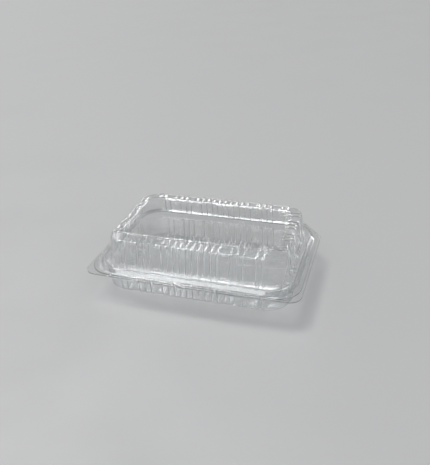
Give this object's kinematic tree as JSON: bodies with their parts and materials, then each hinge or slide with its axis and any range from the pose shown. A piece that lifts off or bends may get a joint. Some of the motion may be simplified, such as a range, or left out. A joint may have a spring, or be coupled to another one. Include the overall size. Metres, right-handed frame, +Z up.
{
  "type": "hinged clear plastic clamshell pack",
  "caption": "Clear thermoformed clamshell pack: a fluted tray and a taller fluted lid joined along one long side by a fold, closed by a ridge and bead.",
  "frame": {"origin": "on the surface the tray stands on, under the middle of the closed pack", "axes": "+X along the long sides, +Y towards the hinge side, +Z up"},
  "size_m": [0.18, 0.123, 0.0473],
  "materials": {
    "clear_sheet": "glossy clear thermoformed sheet"
  },
  "bodies": {
    "tray": {"base_tray": "clear_sheet"},
    "lid": {"lid": "clear_sheet"}
  },
  "joints": [
    {"name": "lid_hinge", "type": "hinge", "parent": "tray", "child": "lid", "pos_m": [0, 0.0615, 0.0206], "axis": [-1, 0, 0], "range_deg": [0, 160]}
  ]
}
